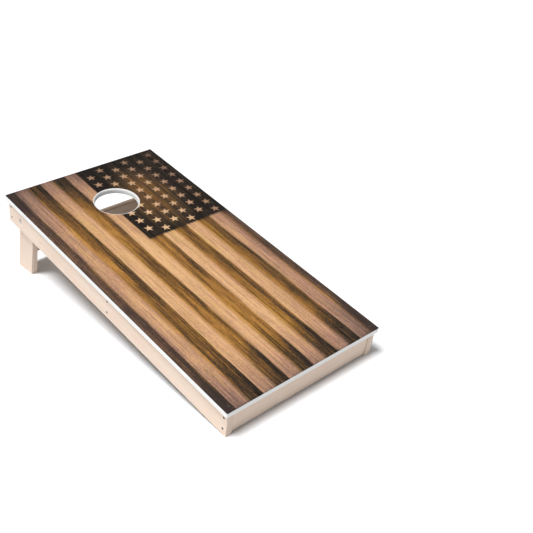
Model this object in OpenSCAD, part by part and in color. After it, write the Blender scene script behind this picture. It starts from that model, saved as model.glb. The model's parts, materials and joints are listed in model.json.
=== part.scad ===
// Folding-leg cornhole board, standing in its playing position.
//
// Millimetres. +Z is up, +Y runs from the low front end to the high end with the hole, and +X is
// the right-hand side for a player who faces the board. The origin is on the floor, under the
// middle of the whole object. Board coordinates are used for everything fixed to the deck:
// x across, y back from the deck's front edge, z up from the deck's playing face.

/* [Deck] */
// Width of the deck
deck_w = 609.6; // [450:0.1:760]
// Length of the deck
deck_l = 1219.2; // [900:0.1:1500]
// Thickness of the plywood deck
deck_t = 18; // [12:0.5:25]
// Diameter of the bag hole
hole_d = 152.4; // [110:0.1:190]
// Distance from the deck's back edge to the middle of the hole
hole_from_back = 228.6; // [180:0.1:300]
// Radius of the deck's four corners in plan
corner_r = 4; // [3:0.5:20]
// Radius of the rounding along the deck's top edges
edge_r = 1; // [0.5:0.25:2.5]
// Radius of the rounding of the hole's rim
rim_r = 4.5; // [1:0.25:6]
// Slope of the deck in the playing position, in degrees
tilt = 10; // [6:0.25:14]

/* [Frame] */
// Thickness of the boards that the frame and legs are cut from
stock_t = 22; // [18:0.5:30]
// Height of the frame rails
rail_h = 89; // [80:0.5:120]
// Radius of the eased long edges of every board
ease_r = 1.5; // [0.5:0.25:3]
// How far the deck overhangs the side rails at each side
side_lip = 10; // [4:0.5:20]
// How far the deck overhangs the side rails at the front
front_lip = 6; // [3:0.5:15]
// How far the deck overhangs the side rails at the back
back_lip = 4; // [3:0.5:15]
// Setback of the front and back rails from the ends of the side rails
rail_recess = 4.5; // [1:0.5:12]
// Height of the cross rails' lower edges above those of the side rails
cross_rail_lift = 2.5; // [0:0.25:6]
// Distance from the deck's front edge to the middle of the centre brace
brace_from_front = 598.6; // [450:0.1:700]

/* [Legs] */
// Width of a leg
leg_w = 89; // [70:0.5:95]
// Gap that stays between a leg's rounded top and the deck above it
leg_top_gap = 1; // [0.5:0.25:4]
// Distance from the back rail's inner face to the pivot
pivot_from_back_rail = 51; // [49:0.1:80]
// Gap between the back edge of an open leg and the back rail that stops it
stop_gap = 0.2; // [0.1:0.1:1]
// Height of the crossbar between the legs
crossbar_h = 76; // [50:0.5:100]
// Distance from the pivot to the middle of the crossbar, along the leg
crossbar_from_pivot = 168; // [130:0.5:190]

/* [Pivot] */
// Diameter of the pivot bolt
bolt_d = 6.3; // [5:0.1:10]
// Diameter of the bolt's domed head
bolt_head_d = 14.6; // [13:0.1:24]
// Height of the bolt's domed head
bolt_head_h = 3.6; // [2.5:0.1:6]
// Depth of the square neck under the head
bolt_neck_h = 4.5; // [3:0.1:8]
// Length of thread that stands out past the nut
bolt_stick_out = 2; // [1:0.5:6]
// Radial clearance between the bolt and a leg
leg_bore_gap = 0.08; // [0.02:0.01:0.1]
// Outer diameter of the washers
washer_d = 18.5; // [16:0.1:28]
// Thickness of the spacer washer between a rail and a leg
spacer_t = 1.2; // [1:0.1:3]
// Thickness of the washer under the nut
nut_washer_t = 1.6; // [1:0.1:3]
// Side play of a leg against the washer on each of its faces
side_play = 0.3; // [0.2:0.05:1]
// Width of the lock nut across its flats
nut_flats = 11.1; // [10.5:0.1:17]
// Height of the lock nut's hexagon
nut_hex_h = 5.5; // [4.5:0.1:9]
// Height of the collar that holds the nylon ring
nut_collar_h = 2.4; // [1.5:0.1:4]

/* [Screws] */
// Diameter of a screw's shank
screw_d = 4.2; // [3:0.1:5]
// Diameter of a countersunk screw head
screw_head_d = 8; // [6.5:0.1:10]
// Depth of a countersunk screw head
screw_head_h = 2.6; // [2:0.1:4]
// Length of the screws that hold the frame together
frame_screw_l = 50; // [40:1:64]
// Length of the screws that hold the deck down
deck_screw_l = 32; // [28:1:34]
// Depth of the filler that covers the deck screws
filler_h = 1.2; // [0.6:0.1:3]
// Distance between the two screws of a frame joint
frame_screw_spread = 44; // [30:1:56]
// Angle of the crossbar's pocket screws, in degrees
pocket_angle = 15; // [12:0.5:18]
// Diameter of a pocket hole
pocket_d = 9.5; // [9:0.1:11]
// Length of wood left between a pocket and the crossbar's end
pocket_web = 14; // [12:0.5:18]
// Length of the crossbar's pocket screws
pocket_screw_l = 32; // [28:1:34]
// Distance between the two pocket screws at each end of the crossbar
pocket_spread = 38; // [24:1:50]

/* [Hidden] */
$fn = 96;
through = 1; // how far a cutter reaches past the face that it opens

// Frame
rail_top = -deck_t;
rail_bottom = rail_top - rail_h;
rail_mid = rail_top - rail_h / 2;
cross_bottom = rail_bottom + cross_rail_lift;
side_rail_out = deck_w / 2 - side_lip;
side_rail_in = side_rail_out - stock_t;
side_rail_start = front_lip;
side_rail_end = deck_l - back_lip;
front_rail_face = side_rail_start + rail_recess;
back_rail_inner = side_rail_end - rail_recess - stock_t;
cross_joints = [
    front_rail_face + stock_t / 2,
    brace_from_front,
    back_rail_inner + stock_t / 2,
];

// Pivot and legs
pivot_y = back_rail_inner - pivot_from_back_rail;
pivot_z = rail_top - leg_top_gap - leg_w / 2;
leg_out = side_rail_in - spacer_t - side_play;
leg_in = leg_out - stock_t;
stop_drop = pivot_z - cross_bottom;
stop_reach = norm([pivot_from_back_rail, stop_drop]);
leg_lean = atan2(pivot_from_back_rail, stop_drop) - asin((leg_w / 2 + stop_gap) / stop_reach);
leg_slope = tilt + leg_lean;
pivot_up = (pivot_y - side_rail_start) * sin(tilt) + (pivot_z - rail_bottom) * cos(tilt);
pivot_back = (pivot_y - side_rail_start) * cos(tilt) - (pivot_z - rail_bottom) * sin(tilt);
leg_l = pivot_up / cos(leg_slope) + leg_w / 2 * tan(leg_slope);
crossbar_l = 2 * leg_in;

// Where the whole object begins and ends along Y, from the line on which the side rails rest
front_reach = (edge_r - side_rail_start) * cos(tilt) - (-edge_r - rail_bottom) * sin(tilt) - edge_r;
deck_back_reach = (deck_l - side_rail_start) * cos(tilt) - rail_h * sin(tilt);
foot_back_reach = pivot_back + pivot_up * tan(leg_slope) + leg_w / 2 / cos(leg_slope);
middle = (front_reach + max(deck_back_reach, foot_back_reach)) / 2;

// Pivot hardware, measured inwards from the side rail's outer face
bolt_leg_start = side_rail_out - leg_out;
washer_start = bolt_leg_start + stock_t + side_play;
nut_start = washer_start + nut_washer_t;
bolt_l = nut_start + nut_hex_h + nut_collar_h + bolt_stick_out;
fit_gap = 0.02; // between pieces that are clamped together
washer_hole_d = bolt_d + 1.2;
collar_d = nut_flats - 1;
ring_wall = 1.2;
ring_h = nut_collar_h - 0.8;

// Screws
tip_l = 5; // pointed end of a screw
drive_d = 4; // cross recess in a screw head
drive_w = 0.9;
pocket_head_d = 8.6;
pocket_head_h = 1.8;
deck_screw_x = side_rail_in + stock_t / 2;
deck_screw_rows = 4;
deck_screw_step = (cross_joints[2] - cross_joints[0]) / (deck_screw_rows - 1);

wood = [0.93, 0.83, 0.73];
shaded_wood = [0.80, 0.70, 0.62];
steel = [0.72, 0.73, 0.75];
dark_steel = [0.13, 0.12, 0.12];
printed = [0.55, 0.40, 0.27];

// ---- Placing ----

// Takes board coordinates to the standing object.
module on_board() {
    translate([0, -middle, 0])
        rotate([tilt, 0, 0])
            translate([0, -side_rail_start, -rail_bottom])
                children();
}

// Puts the origin on the pivot, with -Z running down the open legs.
module on_legs() {
    on_board()
        translate([0, pivot_y, pivot_z])
            rotate([leg_lean, 0, 0])
                children();
}

// Puts the origin on the pivot at a side rail's outer face, with +Z pointing inwards.
module on_pivot(side) {
    on_board()
        translate([side * side_rail_out, pivot_y, pivot_z])
            rotate([0, -side * 90, 0])
                children();
}

// Takes a piece drawn for the right-hand side to either side.
module on_side(side) {
    mirror([side < 0 ? 1 : 0, 0, 0])
        children();
}

// ---- Shared shapes ----

module rounded_rect(x, y, r) {
    square([x - 2 * r, y], center = true);
    square([x, y - 2 * r], center = true);
    for (sx = [-1, 1], sy = [-1, 1])
        translate([sx * (x / 2 - r), sy * (y / 2 - r)])
            circle(r);
}

// A board that runs along y, with its low corner at start.
module board_along_y(start, thick, length, high) {
    translate([start[0] + thick / 2, start[1], start[2] + high / 2])
        rotate([-90, 0, 0])
            linear_extrude(length)
                rounded_rect(thick, high, ease_r);
}

// A board that runs along x, centred on x = 0, with its front lower edge at y and z.
module board_along_x(length, y, thick, z, high) {
    translate([-length / 2, y + thick / 2, z + high / 2])
        rotate([0, 90, 0])
            linear_extrude(length)
                rounded_rect(high, thick, ease_r);
}

// Countersunk screw with its head's face at z = 0 and its point towards -Z.
module countersunk_screw(length) {
    difference() {
        union() {
            translate([0, 0, -screw_head_h])
                cylinder(d1 = screw_d, d2 = screw_head_d, h = screw_head_h);
            translate([0, 0, tip_l - length])
                cylinder(d = screw_d, h = length - tip_l - screw_head_h);
            translate([0, 0, -length])
                cylinder(d1 = 0.4, d2 = screw_d, h = tip_l);
        }
        cross_recess(screw_head_h * 0.7);
    }
}

// The hole that a countersunk screw fills.
module countersunk_hole(length) {
    translate([0, 0, -screw_head_h])
        cylinder(d1 = screw_d, d2 = screw_head_d, h = screw_head_h);
    cylinder(d = screw_head_d, h = filler_h + through);
    translate([0, 0, -length])
        cylinder(d = screw_d, h = length - screw_head_h / 2);
}

module cross_recess(depth) {
    for (turn = [0, 90])
        rotate([0, 0, turn])
            translate([-drive_d / 2, -drive_w / 2, -depth])
                cube([drive_d, drive_w, depth + through]);
}

// Low-head pocket screw, with the underside of its head at z = 0 and its point towards -Z.
module pocket_screw() {
    difference() {
        union() {
            cylinder(d = pocket_head_d, h = pocket_head_h);
            translate([0, 0, tip_l - pocket_screw_l])
                cylinder(d = screw_d, h = pocket_screw_l - tip_l);
            translate([0, 0, -pocket_screw_l])
                cylinder(d1 = 0.4, d2 = screw_d, h = tip_l);
        }
        translate([0, 0, pocket_head_h])
            cross_recess(pocket_head_h * 0.8);
    }
}

// ---- Places where pieces are fastened ----

// Screws through a side rail into the end of a cross rail whose middle is at y.
module at_joint_screws(y) {
    for (side = [-1, 1], dz = [-0.5, 0.5])
        translate([side * side_rail_out, y, rail_mid + dz * frame_screw_spread])
            rotate([0, side * 90, 0])
                children();
}

module all_joint_holes() {
    for (y = cross_joints)
        at_joint_screws(y)
            countersunk_hole(frame_screw_l);
}

// Screws down through the deck into the side rails.
module at_deck_screws() {
    for (side = [-1, 1], i = [0 : deck_screw_rows - 1])
        translate([side * deck_screw_x, cross_joints[0] + i * deck_screw_step, 0])
            children();
}

module deck_screw_holes() {
    at_deck_screws()
        translate([0, 0, -filler_h])
            countersunk_hole(deck_screw_l);
}

// Pocket screws at the crossbar's ends, in the legs' own coordinates. A pocket opens on the back
// face, and its screw leaves through the middle of the end.
module at_pocket_screws() {
    for (side = [-1, 1], dz = [-0.5, 0.5])
        on_side(side)
            translate([leg_in, leg_w / 2 - stock_t / 2, dz * pocket_spread - crossbar_from_pivot])
                rotate([0, 0, -pocket_angle])
                    rotate([0, -90, 0])
                        translate([0, 0, pocket_web])
                            children();
}

module pocket_screw_holes() {
    at_pocket_screws()
        translate([0, 0, -pocket_screw_l])
            cylinder(d = screw_d, h = pocket_screw_l + through);
}

module pockets() {
    at_pocket_screws()
        cylinder(d = pocket_d, h = stock_t / sin(pocket_angle));
}

// ---- Deck ----

module deck_blank() {
    inset = 2 * edge_r;
    translate([0, deck_l / 2, -deck_t]) {
        linear_extrude(deck_t - edge_r)
            rounded_rect(deck_w, deck_l, corner_r);
        linear_extrude(deck_t)
            rounded_rect(deck_w - inset, deck_l - inset, corner_r - edge_r);
    }
    translate([0, deck_l / 2, -edge_r])
        deck_edge_rounding();
}

// Rounds the top edges: a rod along each side and a ring in each corner.
module deck_edge_rounding() {
    for (side = [-1, 1]) {
        translate([0, side * (deck_l / 2 - edge_r), 0])
            edge_rod(deck_w - 2 * corner_r);
        translate([side * (deck_w / 2 - edge_r), 0, 0])
            rotate([0, 0, 90])
                edge_rod(deck_l - 2 * corner_r);
    }
    for (sx = [-1, 1], sy = [-1, 1])
        translate([sx * (deck_w / 2 - corner_r), sy * (deck_l / 2 - corner_r), 0])
            rotate_extrude()
                intersection() {
                    translate([corner_r - edge_r, 0])
                        circle(edge_r);
                    translate([0, -edge_r])
                        square([corner_r, 2 * edge_r]);
                }
}

module edge_rod(length) {
    rotate([0, 90, 0])
        cylinder(r = edge_r, h = length, center = true);
}

module bag_hole() {
    hole_r = hole_d / 2;
    translate([0, deck_l - hole_from_back, 0]) {
        translate([0, 0, -deck_t - through])
            cylinder(r = hole_r, h = deck_t + 2 * through);
        rotate_extrude()
            difference() {
                translate([hole_r - through, -rim_r])
                    square([rim_r + through, rim_r + through]);
                translate([hole_r + rim_r, -rim_r])
                    circle(rim_r);
            }
    }
}

module deck() {
    color(printed)
        on_board()
            difference() {
                deck_blank();
                bag_hole();
                deck_screw_holes();
            }
}

module deck_screws() {
    color(dark_steel)
        on_board()
            at_deck_screws()
                translate([0, 0, -filler_h])
                    countersunk_screw(deck_screw_l);
}

// Filler over the sunk deck screws, sanded flush and printed over.
module deck_screw_fillers() {
    color(printed)
        on_board()
            at_deck_screws()
                translate([0, 0, -filler_h])
                    cylinder(d = screw_head_d, h = filler_h);
}

// ---- Frame ----

// Bolt hole through a side rail, with the square pocket that keeps the bolt from turning.
module rail_bolt_hole() {
    translate([side_rail_out, pivot_y, pivot_z])
        rotate([0, -90, 0]) {
            translate([0, 0, -through])
                cylinder(d = bolt_d + 2 * fit_gap, h = stock_t + 2 * through);
            translate([-bolt_d / 2, -bolt_d / 2, -through])
                cube([bolt_d, bolt_d, bolt_neck_h + through]);
        }
}

module side_rail(side) {
    color(wood)
        on_board()
            difference() {
                on_side(side)
                    difference() {
                        board_along_y(
                            [side_rail_in, side_rail_start, rail_bottom],
                            stock_t, side_rail_end - side_rail_start, rail_h
                        );
                        rail_bolt_hole();
                    }
                all_joint_holes();
                deck_screw_holes();
            }
}

// A board between the side rails, with its front face at y.
module cross_rail(y) {
    on_board()
        difference() {
            board_along_x(2 * side_rail_in, y, stock_t, cross_bottom, rail_top - cross_bottom);
            at_joint_screws(y + stock_t / 2)
                countersunk_hole(frame_screw_l);
        }
}

module front_rail() {
    color(shaded_wood)
        cross_rail(front_rail_face);
}

module back_rail() {
    color(shaded_wood)
        cross_rail(back_rail_inner);
}

module centre_brace() {
    color(shaded_wood)
        cross_rail(brace_from_front - stock_t / 2);
}

// The four screws of one cross rail.
module joint_screws(y) {
    color(dark_steel)
        on_board()
            at_joint_screws(y)
                countersunk_screw(frame_screw_l);
}

// ---- Legs ----

// Everything under the floor, in the legs' own coordinates.
module below_floor() {
    reach = 4 * leg_l;
    rotate([-leg_slope, 0, 0])
        translate([-reach, -reach, -pivot_up - reach])
            cube([2 * reach, 2 * reach, reach]);
}

// A leg's blank: a straight board with a round top about the pivot.
module leg_blank() {
    translate([leg_in, 0, 0]) {
        translate([stock_t / 2, 0, -leg_l])
            linear_extrude(leg_l)
                rounded_rect(stock_t, leg_w, ease_r);
        rotate([0, 90, 0])
            leg_top();
    }
}

module leg_top() {
    r = leg_w / 2;
    rotate_extrude() {
        square([r - ease_r, stock_t]);
        translate([0, ease_r])
            square([r, stock_t - 2 * ease_r]);
        for (h = [ease_r, stock_t - ease_r])
            translate([r - ease_r, h])
                circle(ease_r);
    }
}

module leg(side) {
    color(wood)
        on_legs()
            difference() {
                on_side(side)
                    difference() {
                        leg_blank();
                        translate([leg_in - through, 0, 0])
                            rotate([0, 90, 0])
                                cylinder(d = bolt_d + 2 * leg_bore_gap, h = stock_t + 2 * through);
                    }
                below_floor();
                pocket_screw_holes();
            }
}

// Board between the legs, flush with their back edges.
module leg_crossbar() {
    color(shaded_wood)
        on_legs()
            difference() {
                board_along_x(
                    crossbar_l, leg_w / 2 - stock_t, stock_t,
                    -crossbar_from_pivot - crossbar_h / 2, crossbar_h
                );
                pocket_screw_holes();
                pockets();
            }
}

module crossbar_screws() {
    color(steel)
        on_legs()
            at_pocket_screws()
                pocket_screw();
}

// ---- Pivot hardware ----

module pivot_bolt(side) {
    dome_r = (bolt_head_d * bolt_head_d / 4 + bolt_head_h * bolt_head_h) / (2 * bolt_head_h);
    color(steel)
        on_pivot(side) {
            rotate_extrude()
                intersection() {
                    translate([0, dome_r - bolt_head_h])
                        circle(dome_r);
                    translate([0, -bolt_head_h])
                        square([bolt_head_d / 2, bolt_head_h]);
                }
            translate([-bolt_d / 2, -bolt_d / 2, 0])
                cube([bolt_d, bolt_d, bolt_neck_h]);
            cylinder(d = bolt_d, h = bolt_l);
        }
}

module washer(thick) {
    difference() {
        cylinder(d = washer_d, h = thick);
        translate([0, 0, -through])
            cylinder(d = washer_hole_d, h = thick + 2 * through);
    }
}

module spacer_washer(side) {
    color(steel)
        on_pivot(side)
            translate([0, 0, stock_t])
                washer(spacer_t);
}

module nut_washer(side) {
    color(steel)
        on_pivot(side)
            translate([0, 0, washer_start])
                washer(nut_washer_t);
}

module lock_nut(side) {
    color(steel)
        on_pivot(side)
            translate([0, 0, nut_start])
                difference() {
                    union() {
                        cylinder(d = nut_flats / cos(30), h = nut_hex_h, $fn = 6);
                        cylinder(d = collar_d, h = nut_hex_h + nut_collar_h);
                    }
                    translate([0, 0, -through])
                        cylinder(d = bolt_d + 2 * fit_gap, h = bolt_l);
                    translate([0, 0, nut_hex_h])
                        cylinder(d = bolt_d + 2 * ring_wall, h = nut_collar_h + through);
                }
}

// The ring in a lock nut's collar that grips the thread.
module nylon_ring(side) {
    color("white")
        on_pivot(side)
            translate([0, 0, nut_start + nut_hex_h])
                difference() {
                    cylinder(d = bolt_d + 2 * ring_wall, h = ring_h);
                    translate([0, 0, -through])
                        cylinder(d = bolt_d + 2 * fit_gap, h = ring_h + 2 * through);
                }
}

deck();
side_rail(-1);  // side_rail_left
side_rail(1);  // side_rail_right
front_rail();
back_rail();
centre_brace();
joint_screws(cross_joints[0]);  // front_rail_screws
joint_screws(cross_joints[1]);  // brace_screws
joint_screws(cross_joints[2]);  // back_rail_screws
deck_screws();
deck_screw_fillers();
leg(-1);  // leg_left
leg(1);  // leg_right
leg_crossbar();
crossbar_screws();
pivot_bolt(-1);  // pivot_bolt_left
pivot_bolt(1);  // pivot_bolt_right
spacer_washer(-1);  // spacer_washer_left
spacer_washer(1);  // spacer_washer_right
nut_washer(-1);  // nut_washer_left
nut_washer(1);  // nut_washer_right
lock_nut(-1);  // lock_nut_left
lock_nut(1);  // lock_nut_right
nylon_ring(-1);  // nylon_ring_left
nylon_ring(1);  // nylon_ring_right
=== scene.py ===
"""Looks of the folding-leg cornhole board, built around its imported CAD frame.

Metres in the row frame. The deck's print is laid out in board coordinates, in millimetres: across
from the deck's left edge, along from its back edge, and depth above the playing face.
"""

import json
import math

import bmesh
import bpy
from mathutils import Matrix, Vector


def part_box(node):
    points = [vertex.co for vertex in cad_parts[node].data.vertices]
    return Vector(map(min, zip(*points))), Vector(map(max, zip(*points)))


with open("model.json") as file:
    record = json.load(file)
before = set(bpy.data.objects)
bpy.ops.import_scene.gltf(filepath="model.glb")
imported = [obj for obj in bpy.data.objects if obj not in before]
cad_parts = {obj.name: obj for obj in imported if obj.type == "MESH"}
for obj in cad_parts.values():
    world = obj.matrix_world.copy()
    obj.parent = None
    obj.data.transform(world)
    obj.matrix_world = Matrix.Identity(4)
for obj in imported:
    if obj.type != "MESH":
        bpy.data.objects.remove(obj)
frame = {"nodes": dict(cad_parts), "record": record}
bpy.context.view_layer.update()

# ---- Sizes of the real object ----

MM = 0.001
DECK_W, DECK_L, DECK_T = 609.6, 1219.2, 18.0
PLY_PITCH = 2.6
HOLE_R, HOLE_FROM_BACK = 76.2, 228.6
RIM_R = 4.5
CORNER_R = 4.0
SCREW_HEAD_R = 4.0
FIRST_SCREW = (21.0, 19.5)
SCREW_STEP = (567.6, 392.73)

# The hole's mount lies on the middle of its plain wall, which starts below the rounded rim.
hole = next(m for m in frame["record"]["mounts"] if m["name"] == "bag_hole")
DECK_UP = Vector(hole["axis"]).normalized()
DECK_BACK = Vector((0, DECK_UP.z, -DECK_UP.y))
ACROSS = Vector((1, 0, 0))
wall_middle = (DECK_T + RIM_R) / 2 * MM
HOLE_TOP = Vector(hole["pos_m"]) + DECK_UP * wall_middle
BACK_LEFT = HOLE_TOP + DECK_BACK * HOLE_FROM_BACK * MM - ACROSS * DECK_W / 2 * MM


def srgb(red, green, blue):
    """A display colour from 0 to 255 as the linear colour that shaders take."""
    linear = []
    for value in (red / 255, green / 255, blue / 255):
        low = value <= 0.04045
        linear.append(value / 12.92 if low else ((value + 0.055) / 1.055) ** 2.4)
    return (*linear, 1.0)


# ---- Shader arithmetic ----


class Wire:
    """A number that changes over a surface: a socket that Python arithmetic works on."""

    def __init__(self, graph, socket):
        self.graph, self.socket = graph, socket

    def __add__(self, other):
        return self.graph.math("ADD", self, other)

    def __sub__(self, other):
        return self.graph.math("SUBTRACT", self, other)

    def __rsub__(self, other):
        return self.graph.math("SUBTRACT", other, self)

    def __mul__(self, other):
        return self.graph.math("MULTIPLY", self, other)

    def __truediv__(self, other):
        return self.graph.math("DIVIDE", self, other)

    __radd__, __rmul__ = __add__, __mul__

    def abs(self):
        return self.graph.math("ABSOLUTE", self)

    def min(self, other):
        return self.graph.math("MINIMUM", self, other)

    def max(self, other):
        return self.graph.math("MAXIMUM", self, other)

    def rise(self, low, high):
        """0 below low, 1 above high, and a smooth step between."""
        return self.graph.step(self, low, high)


class Graph:
    """A material's node tree, with one short call for each kind of node."""

    def __init__(self, name):
        self.material = bpy.data.materials.new(name)
        self.material.use_nodes = True
        self.tree = self.material.node_tree
        self.tree.nodes.clear()
        coordinates = self.tree.nodes.new("ShaderNodeTexCoord")
        self.place = Wire(self, coordinates.outputs["Object"])
        self.normal = Wire(self, coordinates.outputs["Normal"])

    def plug(self, socket, value):
        if isinstance(value, Wire):
            self.tree.links.new(value.socket, socket)
        elif value is not None:
            socket.default_value = value

    def math(self, operation, *values):
        node = self.tree.nodes.new("ShaderNodeMath")
        node.operation = operation
        for socket, value in zip(node.inputs, values):
            self.plug(socket, value)
        return Wire(self, node.outputs[0])

    def step(self, value, low, high):
        node = self.tree.nodes.new("ShaderNodeMapRange")
        node.interpolation_type = "SMOOTHSTEP"
        for socket, one in zip(node.inputs[:3], (value, low, high)):
            self.plug(socket, one)
        return Wire(self, node.outputs[0])

    def along(self, vector, axis, origin=Vector()):
        """How far a point lies along an axis from an origin, in millimetres."""
        node = self.tree.nodes.new("ShaderNodeVectorMath")
        node.operation = "DOT_PRODUCT"
        self.plug(node.inputs[0], vector)
        node.inputs[1].default_value = axis / MM
        return Wire(self, node.outputs["Value"]) - axis.dot(origin) / MM

    def facing(self, axis):
        """How squarely the surface faces along an axis, either way, from 0 to 1."""
        return (self.along(self.normal, axis) * MM).abs()

    def join(self, x, y, z=0.0):
        node = self.tree.nodes.new("ShaderNodeCombineXYZ")
        for socket, value in zip(node.inputs, (x, y, z)):
            self.plug(socket, value)
        return Wire(self, node.outputs[0])

    def noise(self, x, y, z=0.0, detail=3.0, rough=0.55, warp=0.0):
        """Cloudy noise of about one cell per unit, from 0 to 1."""
        node = self.tree.nodes.new("ShaderNodeTexNoise")
        self.plug(node.inputs["Vector"], self.join(x, y, z))
        node.inputs["Scale"].default_value = 1.0
        node.inputs["Detail"].default_value = detail
        node.inputs["Roughness"].default_value = rough
        node.inputs["Distortion"].default_value = warp
        return Wire(self, node.outputs[0])

    def cells(self, x, y, z=0.0):
        """Distance to the nearest of scattered points, about one per unit, and its own colour."""
        node = self.tree.nodes.new("ShaderNodeTexVoronoi")
        self.plug(node.inputs["Vector"], self.join(x, y, z))
        node.inputs["Scale"].default_value = 1.0
        return Wire(self, node.outputs["Distance"]), Wire(self, node.outputs["Color"])

    def ramp(self, factor, stops):
        """A colour by a number, through stops of (number, colour)."""
        node = self.tree.nodes.new("ShaderNodeValToRGB")
        points = node.color_ramp.elements
        points.remove(points[1])
        points[0].position, points[0].color = stops[0]
        for at, colour in stops[1:]:
            points.new(at).color = colour
        self.plug(node.inputs[0], factor)
        return Wire(self, node.outputs[0])

    def profile(self, factor, stops):
        """A number by a number, on a smooth curve through stops of (number, number)."""
        node = self.tree.nodes.new("ShaderNodeFloatCurve")
        points = node.mapping.curves[0].points
        points[0].location, points[1].location = stops[0], stops[-1]
        for stop in stops[1:-1]:
            points.new(*stop)
        node.mapping.update()
        self.plug(node.inputs["Value"], factor)
        return Wire(self, node.outputs[0])

    def blend(self, factor, first, second):
        """A number that goes from first to second as factor goes from 0 to 1."""
        return (second - first) * factor + first

    def mix(self, factor, first, second, blend="MIX"):
        node = self.tree.nodes.new("ShaderNodeMix")
        node.data_type = "RGBA"
        node.blend_type = blend
        self.plug(node.inputs["Factor"], factor)
        self.plug(node.inputs[6], first)
        self.plug(node.inputs[7], second)
        return Wire(self, node.outputs[2])

    def shade(self, colour, amount):
        """A colour made darker or lighter by a factor near 1."""
        return self.mix(1.0, colour, self.join(amount, amount, amount), "MULTIPLY")

    def tint(self, colour, amount, by):
        """A colour multiplied by another, as far as amount says."""
        return self.mix(amount, colour, self.mix(1.0, colour, by, "MULTIPLY"))

    def bump(self, height, strength, depth_mm):
        node = self.tree.nodes.new("ShaderNodeBump")
        node.inputs["Strength"].default_value = strength
        node.inputs["Distance"].default_value = depth_mm * MM
        self.plug(node.inputs["Height"], height)
        return Wire(self, node.outputs[0])

    def finish(self, **sockets):
        shader = self.tree.nodes.new("ShaderNodeBsdfPrincipled")
        for name, value in sockets.items():
            self.plug(shader.inputs[name.replace("_", " ")], value)
        output = self.tree.nodes.new("ShaderNodeOutputMaterial")
        self.tree.links.new(shader.outputs[0], output.inputs["Surface"])
        return self.material


# ---- Printed deck ----

# Stripes run along the board; FIRST_LIGHT is the middle of the first light one.
STRIPE_PITCH = 99.0
FIRST_LIGHT = 56.0
# The canton fills the back right corner, from CANTON_FROM across and up to CANTON_TO along.
CANTON_FROM, CANTON_TO = 275.0, 472.0
# Stars stand on two grids, the second shifted by a column and half a row. Each grid's rows reach
# as far as its half length from STAR_ROWS_MIDDLE.
STAR_COLUMN, STAR_ROW = 53.6, 51.6
FIRST_STAR = (307.5, 58.1)
STAR_OUT, STAR_IN = 17.8, 7.4
STAR_ROWS_MIDDLE = 238.7
EVEN_ROWS_HALF, ODD_ROWS_HALF = 206.4, 232.2

# Brightness runs from 0 (black) to 1 (the palest print). The studio light lifts the print by
# PRINT_LIFT, so the colours below are taken down by as much.
PRINT_LIFT = 1.25
LIGHT_TONES = [
    (0.3, (74, 60, 58)),
    (0.41, (99, 78, 72)),
    (0.56, (136, 108, 95)),
    (0.71, (176, 135, 112)),
    (0.86, (211, 163, 122)),
    (0.94, (228, 178, 130)),
    (1.0, (238, 190, 139)),
]
DARK_TONES = [
    (0.08, (22, 19, 18)),
    (0.19, (47, 40, 35)),
    (0.34, (82, 64, 47)),
    (0.49, (128, 90, 50)),
    (0.64, (166, 117, 57)),
    (0.8, (200, 146, 78)),
]
# Brightness of light and dark stripes from the deck's back end to its front, and the share of it
# that is left from the left side to the right.
LIGHT_ALONG = [
    (0.0, 0.57),
    (0.03, 0.63),
    (0.1, 0.74),
    (0.2, 0.86),
    (0.33, 0.92),
    (0.45, 0.95),
    (0.6, 0.935),
    (0.78, 0.91),
    (0.88, 0.87),
    (0.95, 0.77),
    (1.0, 0.64),
]
LIGHT_ACROSS = [
    (0.0, 0.66),
    (0.05, 0.74),
    (0.085, 0.89),
    (0.13, 0.93),
    (0.25, 1.0),
    (0.6, 0.98),
    (0.74, 0.95),
    (0.9, 0.82),
    (1.0, 0.7),
]
DARK_ALONG = [
    (0.0, 0.28),
    (0.05, 0.31),
    (0.1, 0.37),
    (0.2, 0.5),
    (0.35, 0.55),
    (0.5, 0.56),
    (0.65, 0.54),
    (0.82, 0.55),
    (0.88, 0.45),
    (0.95, 0.3),
    (1.0, 0.28),
]
DARK_ACROSS = [
    (0.0, 0.8),
    (0.03, 0.88),
    (0.08, 0.98),
    (0.18, 1.02),
    (0.35, 1.04),
    (0.7, 0.98),
    (0.84, 0.92),
    (0.92, 0.8),
    (0.97, 0.72),
    (1.0, 0.66),
]
# Across one stripe pitch, centred on the light stripe: the burn is deepest on its left side.
DARK_PROFILE = [
    (0.0, 0.94),
    (0.1, 0.8),
    (0.17, 0.72),
    (0.25, 0.8),
    (0.75, 1.22),
    (0.86, 1.12),
    (1.0, 0.94),
]
# Warm places as ((across, along), (half width, half length)): golden ones in the burned stripes,
# each with its gain in brightness, and the one in the canton's middle.
EMBERS = [
    (((322, 890), (34, 250)), 0.2),
    (((205, 420), (26, 170)), 0.07),
    (((438, 830), (22, 230)), 0.1),
]
CANTON_EMBER = ((424, 265), (110, 210))
STAR_TONES = [
    (0.45, (112, 88, 74)),
    (0.6, (146, 116, 95)),
    (0.75, (182, 146, 117)),
    (0.86, (211, 170, 132)),
    (0.94, (234, 192, 146)),
    (1.0, (248, 210, 164)),
]
MAUVE, OLIVE = srgb(247, 240, 255), srgb(250, 255, 226)
STAR_ALONG = [(0.0, 0.56), (0.06, 0.72), (0.13, 0.82), (0.3, 0.95), (1.0, 1.0)]
STAR_ACROSS = [(0.0, 1.0), (0.5, 1.0), (0.72, 0.97), (0.84, 0.86), (0.93, 0.74), (1.0, 0.64)]


def print_tones(tones):
    stops = []
    for level, colour in tones:
        red, green, blue, alpha = srgb(*colour)
        stops.append((level, (red / PRINT_LIFT, green / PRINT_LIFT, blue / PRINT_LIFT, alpha)))
    return stops


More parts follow.
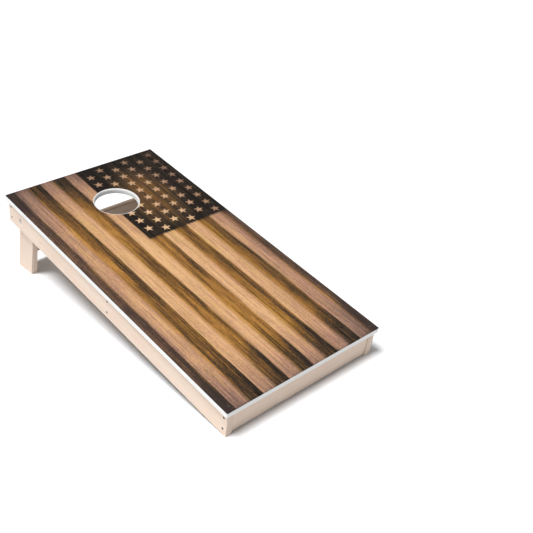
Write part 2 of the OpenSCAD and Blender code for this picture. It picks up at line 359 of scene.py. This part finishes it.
def star_distance(g, across, along):
    """How far a point is outside the nearest star of one grid, in millimetres."""
    cell_x = g.math("WRAP", across - FIRST_STAR[0], STAR_COLUMN, -STAR_COLUMN)
    cell_y = g.math("WRAP", along - FIRST_STAR[1], STAR_ROW / 2, -STAR_ROW / 2)
    reach = g.math("SQRT", cell_x * cell_x + cell_y * cell_y)
    turn = g.math("ARCTAN2", cell_y, cell_x)
    fifth = 2 * math.pi / 5
    folded = g.math("WRAP", turn, fifth / 2, -fifth / 2).abs()
    px = reach * g.math("COSINE", folded)
    py = reach * g.math("SINE", folded)
    tip = Vector((STAR_OUT, 0))
    notch = Vector((math.cos(fifth / 2), math.sin(fifth / 2))) * STAR_IN
    side = (notch - tip).normalized()
    return (px - tip.x) * side.y - py * side.x


def spot(across, along, place, reach=1.0):
    """1 in the middle of a warm place, falling to 0 at its edge."""
    (at_across, at_along), (half_across, half_along) = place
    out_x, out_y = (across - at_across) / half_across, (along - at_along) / half_along
    return 1 - (out_x * out_x + out_y * out_y).rise(0.0, reach)


def deck_print(g, across, along, edge):
    """Colour of the print, and its own grain, in board coordinates."""

    def grain(wide, long, seed, detail=3.0):
        return g.noise(across / wide, along / long, seed, detail)

    hair = grain(0.6, 22, 2.2, 2.0)
    fine = grain(1.7, 70, 3.1, 4.0)
    streak = grain(5.5, 230, 7.7, 3.0)
    band = grain(19, 420, 12.3, 2.0)
    cloud = grain(42, 75, 21.9, 4.0)
    mottle = grain(7, 11, 27.4, 4.0)
    speck = grain(2.2, 4.5, 35.2, 3.0)
    fibre = (hair - 0.5) * 0.3 + (fine - 0.5) * 0.68 + (streak - 0.5) * 0.8
    grit = (mottle - 0.5) * 0.2 + (speck - 0.5) * 0.5
    charred = (edge + (cloud - 0.5) * 14 + (fine - 0.5) * 5).rise(-3, 13) * 0.14 + 0.86

    # Light stripes: crisp on the left, smoky on the right.
    wander = (grain(60, 420, 31.4) - 0.5) * 6 + (streak - 0.5) * 6 + (fine - 0.5) * 4
    from_light = g.math("WRAP", across + wander - FIRST_LIGHT, STRIPE_PITCH / 2, -STRIPE_PITCH / 2)
    smoke = (cloud - 0.5) * 12 + (streak - 0.5) * 14
    light = from_light.rise(-27.0, -19.5) * (1 - (from_light + smoke).rise(15.0, 32.0))
    light_level = g.profile(along / DECK_L, LIGHT_ALONG) * g.profile(across / DECK_W, LIGHT_ACROSS)
    light_level = light_level * charred + fibre * 0.6 + (band - 0.5) * 0.14 + (cloud - 0.5) * 0.12
    pale = g.ramp(light_level + grit, print_tones(LIGHT_TONES))

    # Burned stripes between them, with golden places where the burn is light.
    dark_level = g.profile(along / DECK_L, DARK_ALONG) * g.profile(across / DECK_W, DARK_ACROSS)
    dark_level = dark_level * g.profile(from_light / STRIPE_PITCH + 0.5, DARK_PROFILE) * charred
    dark_level = dark_level * (0.7 + 0.68 * band) * (0.8 + 0.4 * cloud)
    for place, gain in EMBERS:
        dark_level = dark_level + spot(across, along, place) * gain

    # Near the deck's long edges the burn is smoother and browner.
    border = ((across - DECK_W / 2).abs() - DECK_W / 2).rise(-46.0, -14.0)
    dark_level = dark_level + fibre * g.blend(border, 1.15, 0.6) + grit
    burnt = g.ramp(dark_level, print_tones(DARK_TONES))
    burnt = g.mix(border * 0.6, burnt, g.ramp(dark_level, print_tones(LIGHT_TONES)))
    stripes = g.mix(light, burnt, pale)

    # The canton: burned darkest, with a warm glow in its middle, and its stars.
    in_canton = (wander * 0.25 + across - CANTON_FROM).rise(-2.0, 4.0)
    frayed_end = along + (streak - 0.5) * 9 + (fine - 0.5) * 6
    in_canton = in_canton * (1 - (frayed_end - CANTON_TO).rise(-6, 5))
    beside = (CANTON_FROM - across).max(along - CANTON_TO) + (cloud - 0.5) * 26
    smoked = g.blend(light, 0.62, 0.9)
    stripes = g.shade(stripes, g.blend(beside.rise(-6, 30), smoked, 1.0))
    ember = spot(across, along, CANTON_EMBER, reach=1.3)
    canton_level = 0.145 + ember * (0.04 + 0.4 * band)
    canton_level = canton_level + (fibre + cloud * 0.1 - 0.05) * 0.8 + grit * 0.6
    canton = g.ramp(canton_level * charred, print_tones(DARK_TONES))
    frayed_x, frayed_y = across + (fine - 0.5) * 2.4, along + (mottle - 0.5) * 2.4
    from_middle = (along - STAR_ROWS_MIDDLE).abs()
    even = star_distance(g, frayed_x, frayed_y)
    even = even.max(from_middle - EVEN_ROWS_HALF)
    odd = star_distance(g, frayed_x - STAR_COLUMN, frayed_y - STAR_ROW / 2)
    odd = odd.max(from_middle - ODD_ROWS_HALF)
    star = 1 - even.min(odd).rise(-1.4, 1.2)
    star_level = g.profile(along / DECK_L, STAR_ALONG) * g.profile(across / DECK_W, STAR_ACROSS)
    star_level = star_level + fibre * 0.4 + grit * 0.5
    canton = g.mix(star, canton, g.ramp(star_level, print_tones(STAR_TONES)))
    colour = g.mix(in_canton, stripes, canton)

    # Mauve and olive places, and thin open pores and dark lines that run with the grain.
    mauve = grain(30, 170, 58.2).rise(0.46, 0.7) * 0.5 + grain(5, 60, 61.0).rise(0.5, 0.72) * 0.6
    colour = g.tint(colour, mauve, MAUVE)
    olive = grain(22, 230, 66.6).rise(0.48, 0.7) * 0.6 + grain(6, 110, 70.9).rise(0.5, 0.72) * 0.4
    colour = g.tint(colour, olive, OLIVE)
    pore = grain(0.5, 15, 83.5, 2.0).rise(0.6, 0.74) * grain(9, 120, 90.1).rise(0.42, 0.62)
    line = grain(1.5, 150, 95.7, 2.0).rise(0.56, 0.68) * grain(24, 180, 98.8).rise(0.38, 0.54)
    return g.shade(colour, 1 - pore * 0.36 - line * 0.45), fine, pore.max(line)


def deck_coordinates(g):
    across = g.along(g.place, ACROSS, BACK_LEFT)
    along = g.along(g.place, -DECK_BACK, BACK_LEFT)
    depth = g.along(g.place, DECK_UP, BACK_LEFT)
    return across, along, depth


def deck_edge_distance(g, across, along):
    """How far inside the playing face's outline a point is, in millimetres."""
    from_x = (across - DECK_W / 2).abs() - (DECK_W / 2 - CORNER_R)
    from_y = (along - DECK_L / 2).abs() - (DECK_L / 2 - CORNER_R)
    out_x, out_y = from_x.max(0.0), from_y.max(0.0)
    outside = g.math("SQRT", out_x * out_x + out_y * out_y) + from_x.max(from_y).min(0.0)
    return CORNER_R - outside


def plywood_back(g, across, along):
    """Bare birch veneer on the underside: pale, with flat cathedral figure."""
    figure = g.noise(across / 26, along / 420, 5.5, 3.0, 0.5, 0.8)
    bands = g.math("SINE", figure * 60) * 0.5 + 0.5
    fine = g.noise(across / 0.8, along / 30, 9.9, 3.0)
    tone = bands * 0.45 + fine * 0.35 + g.noise(across / 90, along / 120, 2.2) * 0.3
    return g.ramp(
        tone,
        [
            (0.1, srgb(172, 148, 122)),
            (0.5, srgb(192, 170, 145)),
            (0.95, srgb(208, 188, 164)),
        ],
    )


def printed_deck():
    g = Graph("printed_plywood")
    across, along, depth = deck_coordinates(g)
    edge = deck_edge_distance(g, across, along)
    hole_x, hole_y = across - DECK_W / 2, along - HOLE_FROM_BACK
    from_hole = g.math("SQRT", hole_x * hole_x + hole_y * hole_y) - HOLE_R
    ragged = (g.noise(across / 5, along / 5, 17.0) - 0.5) * 0.5
    on_face = (from_hole - RIM_R + ragged).rise(0.05, 0.4)
    on_face = on_face * (depth + ragged * 0.3).rise(-0.75, -0.5)
    colour, fine, pore = deck_print(g, across, along, edge)

    # White edge paint: brushed along, a little dulled, with the plies showing faintly through.
    ply = g.math("SINE", depth * (2 * math.pi / PLY_PITCH)) * 0.5 + 0.5
    stroke = g.noise(along / 45 + across / 45, depth / 0.9, 3.0, 3.0)
    smudge = g.noise(across / 70, along / 70, depth / 30, 4.0).rise(0.5, 0.78)
    paint = g.mix(smudge * 0.4, srgb(217, 217, 215), srgb(204, 201, 197))
    paint = g.shade(paint, 1 - ply * 0.03 - (stroke - 0.5) * 0.05)
    under = depth.rise(-DECK_T + 0.1, -DECK_T + 0.3)
    body = g.mix(under, plywood_back(g, across, along), paint)

    scuff = g.noise(across / 110, along / 110, 50.0, 5.0, 0.65).rise(0.48, 0.75)
    sheen = 0.44 + scuff * 0.16 + (fine - 0.5) * 0.1
    rough = g.blend(on_face, g.blend(under, 0.72, 0.42 + smudge * 0.2), sheen)
    relief = g.blend(on_face, ply * 0.3 + stroke * 0.5, fine * 0.35 - pore * 0.8)
    return g.finish(
        Base_Color=g.mix(on_face, body, colour),
        Roughness=rough,
        Specular_IOR_Level=g.blend(on_face, 0.25, 0.1),
        Normal=g.bump(relief, 0.35, 0.25),
    )


def printed_filler():
    """Wood filler over the deck screws: the print runs over it, a touch paler, in a faint ring."""
    g = Graph("printed_filler")
    across, along, depth = deck_coordinates(g)
    colour, fine, _ = deck_print(g, across, along, deck_edge_distance(g, across, along))
    near_x = g.math("WRAP", across - FIRST_SCREW[0], SCREW_STEP[0] / 2, -SCREW_STEP[0] / 2)
    near_y = g.math("WRAP", along - FIRST_SCREW[1], SCREW_STEP[1] / 2, -SCREW_STEP[1] / 2)
    radius = g.math("SQRT", near_x * near_x + near_y * near_y)
    speckle = g.noise(across / 0.7, along / 0.7, depth / 0.7, 3.0)
    ring = (radius + (speckle - 0.5) * 0.5).rise(SCREW_HEAD_R - 0.5, SCREW_HEAD_R)
    film = g.mix(speckle * 0.12, colour, srgb(196, 188, 180))
    film = g.shade(film, 1 - ring * 0.22)
    clay = g.mix(speckle, srgb(186, 150, 112), srgb(206, 176, 140))
    return g.finish(
        Base_Color=g.mix(depth.rise(-0.4, -0.2), clay, film),
        Roughness=0.52 + speckle * 0.16,
        Specular_IOR_Level=0.1,
        Normal=g.bump(speckle + fine * 0.3 - ring, 0.3, 0.2),
    )


# ---- Bare wood ----


def wood(name, along, wide, seed, start, pith, tint):
    """Sanded pale softwood with its grain along one axis and growth rings about a pith line.

    start is a point on the board; pith is where the tree's middle lay from it, in millimetres,
    along wide and along the third axis. The rings give straight or arched figure on the faces
    and arcs on the sawn ends, as they do in a real board.
    """
    g = Graph(name)
    thick = along.cross(wide).normalized()
    run = g.along(g.place, along, start)
    x = g.along(g.place, wide, start)
    y = g.along(g.place, thick, start)

    drift = (g.noise(run / 240, x / 90, seed, 2.0) - 0.5) * 26
    ripple = (g.noise(run / 70, x / 16, y / 16 + seed, 2.0) - 0.5) * 3.4
    rx, ry = x - pith[0] + drift, y - pith[1] + drift * 0.6
    radius = g.math("SQRT", rx * rx + ry * ry) + ripple + run * 0.012
    ring_width = 4.6 + 0.3 * math.sin(seed * 7)
    year = g.math("FRACT", radius / ring_width)
    late = year.rise(0.35, 0.92) - year.rise(0.92, 1.0)
    weather = g.noise(radius / 17, seed, run / 900, 2.0)

    fibre = g.noise(run / 34, x / 0.55, y / 0.55 + seed, 4.0, 0.6)
    streak = g.noise(run / 190, x / 5, y / 5 + seed, 3.0)
    blush = g.noise(run / 120, x / 45, y / 45 + seed * 2, 3.0)
    end = g.facing(along).rise(0.6, 0.95)

    tone = late * (0.16 + 0.3 * weather)
    tone = tone + (fibre - 0.5) * 0.55 + (streak - 0.5) * 0.6 + 0.22
    colour = g.ramp(
        tone,
        [
            (0.0, srgb(217, 200, 185)),
            (0.35, srgb(210, 191, 174)),
            (0.65, srgb(200, 177, 157)),
            (1.0, srgb(182, 154, 131)),
        ],
    )
    colour = g.tint(colour, blush.rise(0.45, 0.75) * 0.4, srgb(250, 234, 230))

    # Pin knots and resin flecks, drawn out along the grain.
    from_knot, pick = g.cells(run / 85, x / 34, y / 60 + seed)
    chosen = g.along(pick, Vector((MM, 0, 0))).rise(0.45, 0.5)
    knot = (1 - from_knot.rise(0.018, 0.07)) * chosen
    fleck = g.noise(run / 9, x / 0.8, y / 0.8 - seed, 2.0).rise(0.69, 0.78)
    colour = g.mix(knot * 0.75, colour, srgb(136, 92, 62))
    colour = g.mix(fleck * 0.3, colour, srgb(164, 122, 90))

    # A sawn end drinks more finish and shows darker rings and open pores.
    pores = g.noise(x / 0.7, y / 0.7, seed, 2.0).rise(0.52, 0.7)
    sawn = g.shade(colour, 0.98 - late * 0.14 - pores * 0.09)
    colour = g.mix(end, colour, sawn)
    # Multiplied by tint: (1, 1, 1) for most boards; for the leg crossbar it darkens the wood as
    # painted shade.
    colour = g.mix(1.0, colour, (*tint, 1.0), "MULTIPLY")
    saw_mark = g.math("SINE", (x * 0.9 + y * 0.45 + ripple) * 3.2) * 0.5 + 0.5
    relief = g.blend(end, fibre * 0.7 - late * 0.25 - fleck * 0.5, pores * -0.5 + saw_mark * 0.35)
    return g.finish(
        Base_Color=colour,
        Roughness=0.62 + (fibre - 0.5) * 0.2 + end * 0.16 - knot * 0.15,
        Specular_IOR_Level=0.3,
        Normal=g.bump(relief, 0.45, 0.3),
    )


# ---- Metal and nylon ----


def row_coordinates(g):
    return [g.along(g.place, Vector(axis)) for axis in ((1, 0, 0), (0, 1, 0), (0, 0, 1))]


def zinc(name):
    """Bright zinc plate: faint blue and straw clouds, fine spangle, handling marks."""
    g = Graph(name)
    x, y, z = row_coordinates(g)
    cloud = g.noise(x / 3.5, y / 3.5, z / 3.5, 4.0)
    grit = g.noise(x / 0.35, y / 0.35, z / 0.35, 3.0)
    scratch = g.noise(x / 0.25 + cloud * 3, y / 4, z / 0.3, 2.0).rise(0.6, 0.72)
    colour = g.ramp(
        cloud,
        [
            (0.25, srgb(150, 153, 158)),
            (0.5, srgb(172, 173, 174)),
            (0.75, srgb(182, 178, 170)),
        ],
    )
    return g.finish(
        Base_Color=g.shade(colour, 1 - scratch * 0.12),
        Metallic=1.0,
        Roughness=0.36 + (cloud - 0.4) * 0.22 + grit * 0.12,
        Normal=g.bump(grit * 0.4 - scratch * 0.7, 0.3, 0.05),
    )


def black_screws():
    """Black phosphate, rubbed to grey steel where a driver has turned in it."""
    g = Graph("black_screw")
    x, y, z = row_coordinates(g)
    grit = g.noise(x / 0.3, y / 0.3, z / 0.3, 3.0)
    rubbed = g.noise(x / 1.6, y / 1.6, z / 1.6, 4.0).rise(0.6, 0.72)
    return g.finish(
        Base_Color=g.mix(rubbed * 0.55, srgb(40, 38, 38), srgb(128, 124, 120)),
        Metallic=rubbed * 0.5 + 0.3,
        Roughness=0.5 + grit * 0.2 - rubbed * 0.15,
        Normal=g.bump(grit, 0.3, 0.06),
    )


def nylon():
    g = Graph("nylon")
    x, y, z = row_coordinates(g)
    cloud = g.noise(x / 1.2, y / 1.2, z / 1.2, 3.0)
    colour = g.mix(cloud, srgb(214, 220, 226), srgb(236, 238, 238))
    return g.finish(
        Base_Color=colour,
        Roughness=0.36 + cloud * 0.18,
        Subsurface_Weight=0.25,
        Normal=g.bump(cloud, 0.2, 0.08),
    )


# ---- Dressing the CAD nodes ----


def dress(material, *nodes):
    for node in nodes:
        for place in frame["nodes"][node].material_slots:
            place.material = material


bolt_low, bolt_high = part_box("pivot_bolt_left")
PIVOT = (bolt_low + bolt_high) / 2
foot = next(m for m in frame["record"]["mounts"] if m["name"] == "foot_left")
LEG_DOWN = Vector((0, foot["pos_m"][1] - PIVOT.y, foot["pos_m"][2] - PIVOT.z)).normalized()
LEG_BACK = LEG_DOWN.cross(ACROSS).normalized()


def dress_board(node, along, wide, seed, pith, tint=(1.0, 1.0, 1.0)):
    """Gives one board its own piece of wood, measured from the board's low corner."""
    dress(wood("pine_" + node, along, wide, seed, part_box(node)[0], pith, tint), node)


# Painted shade: the leg crossbar is the same pine as the other boards, multiplied darker here to
# stand in for the shade it sits in under the deck.
CROSSBAR_PAINTED_SHADE = (0.78, 0.77, 0.76)
dress(printed_deck(), "deck")
dress(printed_filler(), "deck_screw_fillers")
dress_board("side_rail_left", DECK_BACK, DECK_UP, 1.7, (120, 60))
dress_board("side_rail_right", DECK_BACK, DECK_UP, 5.2, (-80, -90))
dress_board("front_rail", ACROSS, DECK_UP, 9.4, (130, -70))
dress_board("back_rail", ACROSS, DECK_UP, 13.1, (-60, 80))
dress_board("centre_brace", ACROSS, DECK_UP, 17.6, (45, -60))
dress_board("leg_left", LEG_DOWN, LEG_BACK, 21.3, (90, 75))
dress_board("leg_right", LEG_DOWN, LEG_BACK, 26.8, (-70, -80))
dress_board("leg_crossbar", ACROSS, LEG_DOWN, 31.9, (60, 85), CROSSBAR_PAINTED_SHADE)
dress(black_screws(), "front_rail_screws", "back_rail_screws", "brace_screws", "deck_screws")
dress(zinc("zinc_steel"), "crossbar_screws")
for side in ("left", "right"):
    hardware = ("pivot_bolt_", "spacer_washer_", "nut_washer_", "lock_nut_")
    dress(zinc("zinc_" + side), *(piece + side for piece in hardware))
dress(nylon(), "nylon_ring_left", "nylon_ring_right")

# ---- Studio ----

CAMERA_AT = (-1.404, -2.012, 1.626)
CAMERA_LOOKS = Vector((0.5721, 0.6389, -0.5143)).normalized()
CAMERA_RIGHT = Vector((0.7461, -0.6658, 0.0028))
LENS_MM = 57.7

# Studio cove: flat floor, a quarter round and a low wall. STEPS is the number of its sides.
FLAT_R, BOWL_R, WALL_H = 6.5, 3.0, 3.4
INNER_R = 2.0
STEPS, BEND_STEPS = 96, 12

KEY_FROM, KEY_STRENGTH, KEY_SPREAD_DEG = (-0.36, -0.03, 1.0), 3.5, 22
FILL_AT, FILL_AIM = (-5.0, -0.9, 0.6), (0.0, 0.0, 0.15)
FILL_SIZE, FILL_POWER = 1.0, 52
WORLD_STRENGTH = 0.15


def set_camera():
    data = bpy.data.cameras.new("camera")
    data.sensor_width = 36.0
    data.lens = LENS_MM
    data.clip_end = 60.0
    camera = bpy.data.objects.new("camera", data)
    bpy.context.scene.collection.objects.link(camera)
    camera.location = CAMERA_AT
    up = CAMERA_RIGHT.cross(CAMERA_LOOKS).normalized()
    right = CAMERA_LOOKS.cross(up)
    camera.rotation_euler = Matrix((right, up, -CAMERA_LOOKS)).transposed().to_euler()
    bpy.context.scene.camera = camera


def sweep():
    """White floor that curves up into a low wall all round, like a studio cove."""
    mesh = bpy.data.meshes.new("studio_floor")
    bm = bmesh.new()
    profile = [(INNER_R, 0.0), (FLAT_R, 0.0)]
    for i in range(1, BEND_STEPS + 1):
        angle = math.pi / 2 * i / BEND_STEPS
        profile.append((FLAT_R + BOWL_R * math.sin(angle), BOWL_R * (1 - math.cos(angle))))
    profile.append((FLAT_R + BOWL_R, WALL_H))
    rings = []
    for radius, height in profile:
        ring = []
        for i in range(STEPS):
            turn = 2 * math.pi * i / STEPS
            ring.append(bm.verts.new((radius * math.cos(turn), radius * math.sin(turn), height)))
        rings.append(ring)
    bm.faces.new(rings[0])
    for inner, outer in zip(rings, rings[1:]):
        for i in range(STEPS):
            j = (i + 1) % STEPS
            bm.faces.new((inner[i], outer[i], outer[j], inner[j]))
    bm.normal_update()
    bm.to_mesh(mesh)
    bm.free()
    for face in mesh.polygons:
        face.use_smooth = True
    floor = bpy.data.objects.new("studio_floor", mesh)
    bpy.context.scene.collection.objects.link(floor)
    g = Graph("studio_white")
    x, y, _ = row_coordinates(g)
    speck = g.noise(x / 60, y / 60, 0.0, 3.0)
    mesh.materials.append(
        g.finish(
            Base_Color=g.mix(speck, srgb(243, 245, 248), srgb(245, 246, 248)),
            Roughness=0.9,
            Specular_IOR_Level=0.1,
        )
    )


def sun(name, comes_from, strength, spread_deg):
    data = bpy.data.lights.new(name, "SUN")
    data.energy = strength
    data.angle = math.radians(spread_deg)
    light = bpy.data.objects.new(name, data)
    light.rotation_euler = Vector(comes_from).to_track_quat("Z", "Y").to_euler()
    bpy.context.scene.collection.objects.link(light)


def softbox(name, place, aim, size, power):
    data = bpy.data.lights.new(name, "AREA")
    data.size, data.energy = size, power
    light = bpy.data.objects.new(name, data)
    light.location = place
    light.rotation_euler = (Vector(place) - Vector(aim)).to_track_quat("Z", "Y").to_euler()
    light.visible_camera = False
    bpy.context.scene.collection.objects.link(light)


set_camera()
sweep()
sun("key", KEY_FROM, KEY_STRENGTH, KEY_SPREAD_DEG)
softbox("left_fill", FILL_AT, FILL_AIM, FILL_SIZE, FILL_POWER)
world = bpy.data.worlds.new("studio")
world.use_nodes = True
background = world.node_tree.nodes["Background"]
background.inputs["Color"].default_value = (1.0, 1.0, 1.0, 1.0)
background.inputs["Strength"].default_value = WORLD_STRENGTH
bpy.context.scene.world = world
bpy.context.scene.view_settings.view_transform = "Standard"

bpy.context.view_layer.update()
